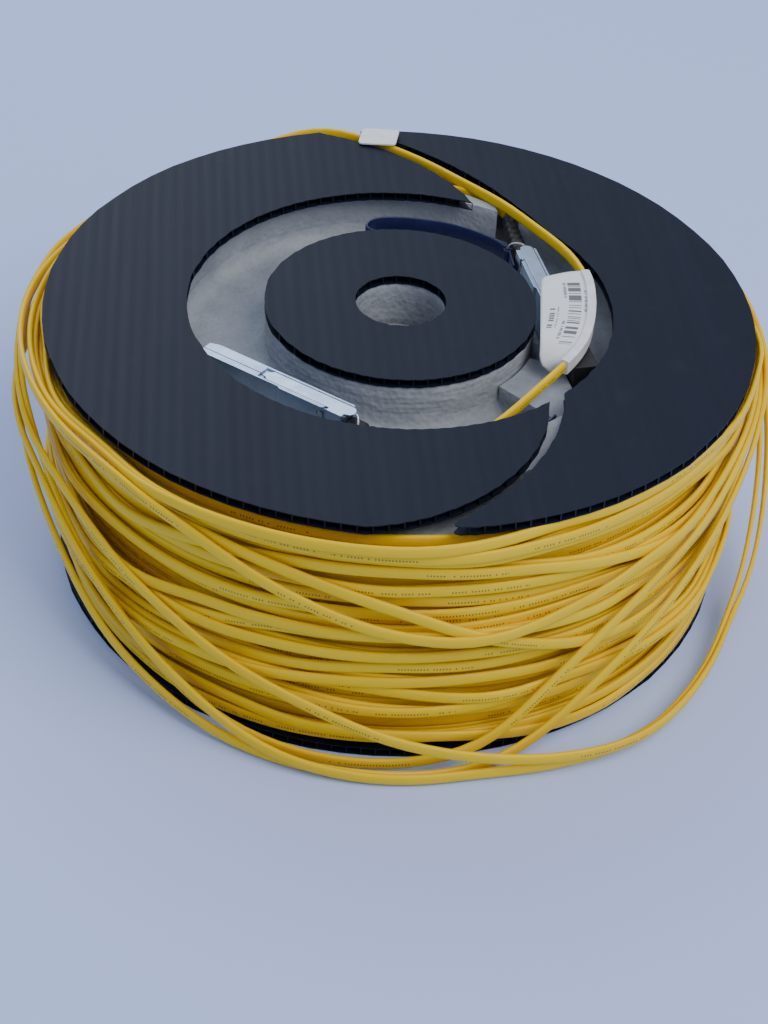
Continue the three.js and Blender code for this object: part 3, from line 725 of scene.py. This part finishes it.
def turned_foam(name, profile, steps):
    """A ring of foam turned from a profile of radius and height, in millimetres."""
    bm = bmesh.new()
    verts = [bm.verts.new((r * MM, 0, z * MM)) for r, z in profile]
    edges = [bm.edges.new(pair) for pair in zip(verts, verts[1:] + verts[:1])]
    bmesh.ops.spin(bm, geom=verts + edges, axis=(0, 0, 1), cent=(0, 0, 0), angle=2 * math.pi,
                   steps=steps, use_merge=True)
    bmesh.ops.remove_doubles(bm, verts=bm.verts, dist=0.01 * MM)
    bmesh.ops.recalc_face_normals(bm, faces=bm.faces)
    rippled(bm, 0.25, 60, 0.3)
    made = piece(name, mesh_from(bm, name, 50), finish=foam, replaced=[name[:-6]])
    return made


def wall(radius, low, high, step):
    count = max(1, round(abs(high - low) / step))
    return [(radius, low + (high - low) * k / count) for k in range(count)]


def cove(radius, height, size, start, end, steps=6):
    """A rounded inner corner of a profile."""
    return [
        (radius + size * math.cos(math.radians(start + (end - start) * k / steps)),
         height + size * math.sin(math.radians(start + (end - start) * k / steps)))
        for k in range(steps + 1)
    ]


COVE = 7.0
turned_foam("foam_core_block", [
    *wall(FOAM_BORE_R, 94.5, 4.5, 6), *[(r, 4.4) for r in (20.2, 60, 100, 142.2)],
    *wall(CORE_R, 5.2, 94.0, 8), (142.4, 94.6),
    *[(r, 94.7) for r in (130, 115, 103)],
    *cove(95.8 - COVE, 94.7 + COVE, COVE, -2, -90), *[(r, 94.7) for r in range(84, 68, -4)],
    *cove(57.6 + COVE, 94.7 + COVE, COVE, -90, -178), (40, 94.9), (20.2, 94.7),
], 120)
turned_foam("foam_hub_block", [
    *wall(FOAM_BORE_R, 115.2, 95.4, 3), (20.0, 95.1), (40, 95.1), (56.9, 95.1),
    *wall(57.4, 95.6, 115.2, 0.7), (56.8, 115.7), (40, 115.7), (20.1, 115.7),
], 110)

ring = node_copy("foam_ring")
soften(ring, 2.2, 40, 4)
bmesh.ops.triangulate(ring, faces=[f for f in ring.faces if len(f.verts) > 4])
for _ in range(3):
    long_edges = [e for e in ring.edges if e.calc_length() > 9 * MM]
    if long_edges:
        bmesh.ops.subdivide_edges(ring, edges=long_edges, cuts=1)
        bmesh.ops.triangulate(ring, faces=[f for f in ring.faces if len(f.verts) > 4])
rippled(ring, 0.22, 60, 0.2)
ring = piece("foam_ring_block", mesh_from(ring, "foam_ring_block", 40), finish=foam,
             replaced=["foam_ring"])


# ---- plug modules ----
# Part, finish, width of its rounded edges in millimetres, the record's slot.
MODULE_PARTS = [
    ("housing_base", shell_metal, 0.3, "shell"), ("housing_cover", shell_metal, 0.3, "shell"),
    ("latch_slider", slider_metal, 0.12, "sheet_metal"), ("boot", boot_rubber, 0.3, "boot_rubber"),
    ("dust_cap", cap_plastic, 0.7, "moulded_black"),
]
CARRIED = {
    "bail_wire": wire_metal, "return_spring_1": wire_metal, "return_spring_2": wire_metal,
    "cover_screw_1": wire_metal, "cover_screw_2": wire_metal, "crimp_sleeve": wire_metal,
    "circuit_board": laminate, "optical_engine": cap_plastic, "fiber_ferrule": cap_plastic,
    "fiber_ribbon": strap_plastic,
}
for key in "ab":
    body_of_part = {"latch_slider": "slider_" + key}  # the other parts ride on the reel
    for part, finish, edge, slot in MODULE_PARTS:
        name = f"module_{key}_{part}"
        if name not in nodes:
            continue
        bm = node_copy(name)
        soften(bm, edge, 30, 2)
        smooth_deg = 35 if part == "boot" else 18
        piece(
            name + "_detail", mesh_from(bm, name + "_detail", smooth_deg),
            body_of_part.get(part, "reel"), finish, [name],
        )
    for part, finish in CARRIED.items():
        node = nodes[f"module_{key}_{part}"]
        node.data.materials.clear()
        node.data.materials.append(finish.material)


# ---- pull tabs ----
STRAP_T, STRAP_W = 1.2, 9


def ribbon(points, name, width, thick, body, finish, replaced):
    """A strap on edge along points, each with its own middle height, in millimetres."""
    line = evened(smooth_route(points), 1.6)
    ahead = np.gradient(line, axis=0)
    flat = np.stack([-ahead[:, 1], ahead[:, 0], 0 * ahead[:, 0]], axis=1)
    flat /= np.linalg.norm(flat, axis=1)[:, None]
    upwards = np.array([0, 0, 1.0])
    bm = bmesh.new()
    rows = []
    half, rim = width / 2, thick / 2
    section = [(-rim, -half + 0.4), (-rim, 0), (-rim, half - 0.4), (-rim * 0.5, half), (rim * 0.5, half),
               (rim, half - 0.4), (rim, 0), (rim, -half + 0.4), (rim * 0.5, -half), (-rim * 0.5, -half)]
    for centre, side in zip(line, flat):
        ring_verts = [bm.verts.new((centre + side * x + upwards * y) * MM) for x, y in section]
        rows.append([bm.edges.new(pair) for pair in zip(ring_verts, ring_verts[1:] + ring_verts[:1])])
    for first, second in zip(rows, rows[1:]):
        bmesh.ops.bridge_loops(bm, edges=first + second)
    bmesh.ops.holes_fill(bm, edges=rows[0] + rows[-1], sides=0)
    bmesh.ops.recalc_face_normals(bm, faces=bm.faces)
    return piece(name, mesh_from(bm, name, 50), body, finish, replaced)


# The strap leaves its eye, rises in the channel and turns back on itself at its end.
TAB_A = [(46.0, 63.8, 106.4), (44.2, 65.4, 106.8), (40, 68, 107.8), (31, 71.6, 109.2), (20, 74, 110.6),
         (8, 75, 111.4), (-4, 74.6, 112), (-12, 72.6, 112.4), (-16.5, 69.2, 112.2), (-17.2, 65.6, 111.6),
         (-14.6, 63.4, 111.2), (-10, 62.8, 111)]
TAIL_A = [(47.9, 61.3, 106), (48.6, 56.5, 105.6), (49.8, 50.2, 105.2)]
TAB_B = [(-12.6, -84.3, 105.8), (-5, -88.2, 105.8), (4, -91.2, 105.8), (14, -91.6, 105.8), (28, -88.2, 105.6),
         (42, -82.2, 105.8), (53, -75.2, 106.4), (60.5, -69, 107.4), (64.2, -64.8, 108.4)]
TAIL_B = [(-15.4, -82.4, 105.8), (-18, -81, 105.8), (-22.4, -78.4, 105.8)]
for key, route, tail in (("a", TAB_A, TAIL_A), ("b", TAB_B, TAIL_B)):
    name = f"module_{key}_pull_tab"
    ribbon(route, name + "_strap", STRAP_W, STRAP_T, "slider_" + key, strap_plastic, [name])
    ribbon(tail, name + "_tail", STRAP_W, STRAP_T, "slider_" + key, strap_plastic, [name])
    eye_at = {"a": (46.95, 62.33), "b": (-14.38, -83.27)}[key]
    ribbon(
        [(eye_at[0] + 1.6 * math.cos(t / 6 * math.pi), eye_at[1] + 1.6 * math.sin(t / 6 * math.pi), 105.9)
         for t in range(12)],
        name + "_eye", STRAP_W, STRAP_T * 0.85, "slider_" + key, strap_plastic, [name],
    )


# ---- labels ----
def stretch_of(route, low_y, high_y):
    """The part of a lead between two y's, as points and the level direction away from it."""
    line = evened(smooth_route(route), 1.5)
    line = line[(line[:, 1] > low_y) & (line[:, 1] < high_y) & (line[:, 0] > 60)]
    ahead = np.gradient(line, axis=0)
    side = np.stack([-ahead[:, 1], ahead[:, 0], 0 * ahead[:, 0]], axis=1)
    return line, side / np.linalg.norm(side, axis=1)[:, None]


FLAG_LOW, FLAG_HIGH = -41, 31.5  # along the lead, by its y
FLAG_T = 0.3
ribbon(
    [tuple(p) for p in stretch_of(LEAD_B_ROUTE, FLAG_LOW, FLAG_HIGH)[0][::4]], "wrap_label_sleeve",
    CABLE_WIDTH + 1.3, CABLE_THICK + 1.5, "reel", sleeve_paper, ["flag_label"],
)


def flag(name):
    """The flag of the wrap label: a thin sheet from the sleeve inwards, its lower end curled down."""
    line, side = stretch_of(LEAD_B_ROUTE, FLAG_LOW + 4, FLAG_HIGH - 1)
    rows, columns = len(line), 16
    bm = bmesh.new()
    bmesh.ops.create_grid(bm, x_segments=rows - 1, y_segments=columns - 1, size=0.5)
    where = bm.verts.layers.float_vector.new("label_place")  # along, out from the lead
    for v in bm.verts:
        row = round((v.co.x + 0.5) * (rows - 1))
        share = v.co.y + 0.5
        length = row / (rows - 1)
        # the inner edge is nearly straight, and its corners are rounded off
        inner_x = 57.8 + 2.6 * length
        reach = line[row][0] - inner_x
        corner = min(length, 1 - length) * (rows - 1) * 1.5
        if corner < 5:
            reach -= 5 - math.sqrt(max(0.0, 25 - (5 - corner) ** 2))
        out = 0.6 + (reach - 0.6) * share
        curl = -7.5 * max(0.0, 0.2 - length) ** 2 * 25 * (0.35 + 0.65 * share)
        belly = 0.5 * math.sin(share * math.pi) + 0.9 * math.sin(length * 5) * share - 1.7 * share
        place = Vector(line[row]) + Vector(side[row]) * out * 0.25 + Vector((-1, 0, 0)) * out * 0.75
        v[where] = (row * 1.5, out, 0)
        v.co = Vector((place.x, place.y, place.z + 1.6 + belly + curl)) * MM
    bmesh.ops.recalc_face_normals(bm, faces=bm.faces)
    made = piece(
        name, mesh_from(bm, name, 60), finish=printed_paper,
        replaced=["flag_label"],
    )
    thick = made.modifiers.new("thickness", "SOLIDIFY")
    thick.thickness, thick.offset = FLAG_T * MM, 0
    return made


def tag(name):
    """The small label where lead a enters the winding, with rounded corners."""
    bm = node_copy("tag_label")
    upright_edges = [e for e in bm.edges if abs((e.verts[0].co - e.verts[1].co).normalized().z) > 0.9]
    bmesh.ops.bevel(bm, geom=upright_edges, offset=2 * MM, offset_type="OFFSET", affect="EDGES",
                    segments=5, profile=0.5, material=-1)
    return piece(
        name, mesh_from(bm, name, 40), finish=label_paper,
        replaced=["tag_label"],
    )


flag("wrap_label_flag")
tag("end_label")


# ---- floor and light ----
bm = bmesh.new()
bmesh.ops.create_grid(bm, x_segments=1, y_segments=1, size=6)
floor = bpy.data.objects.new("floor", mesh_from(bm, "floor"))
floor.location = (0, 0, cad_box[0][2] - 0.0002)
bpy.context.scene.collection.objects.link(floor)
floor_finish = Finish("floor", Base_Color=(0.50, 0.61, 0.98), Roughness=0.9, Specular_IOR_Level=0.1)
floor.data.materials.append(floor_finish.material)

world = bpy.data.worlds.new("world")
bpy.context.scene.world = world
world.use_nodes = True
world.node_tree.nodes["Background"].inputs["Color"].default_value = (0.70, 0.78, 1.0, 1)
world.node_tree.nodes["Background"].inputs["Strength"].default_value = 0.62


def lamp(name, place, size, power, colour):
    data = bpy.data.lights.new(name, "AREA")
    data.shape, data.size, data.energy, data.color = "SQUARE", size, power, colour
    made = bpy.data.objects.new(name, data)
    made.location = place
    made.rotation_euler = (Vector((0, 0, 0.06)) - Vector(place)).to_track_quat("-Z", "Y").to_euler()
    bpy.context.scene.collection.objects.link(made)


lamp("key", (0.9, -0.7, 1.6), 1.3, 26, (1.0, 0.96, 0.90))
lamp("back", (-0.8, 1.3, 1.4), 1.8, 20, (0.82, 0.9, 1.0))
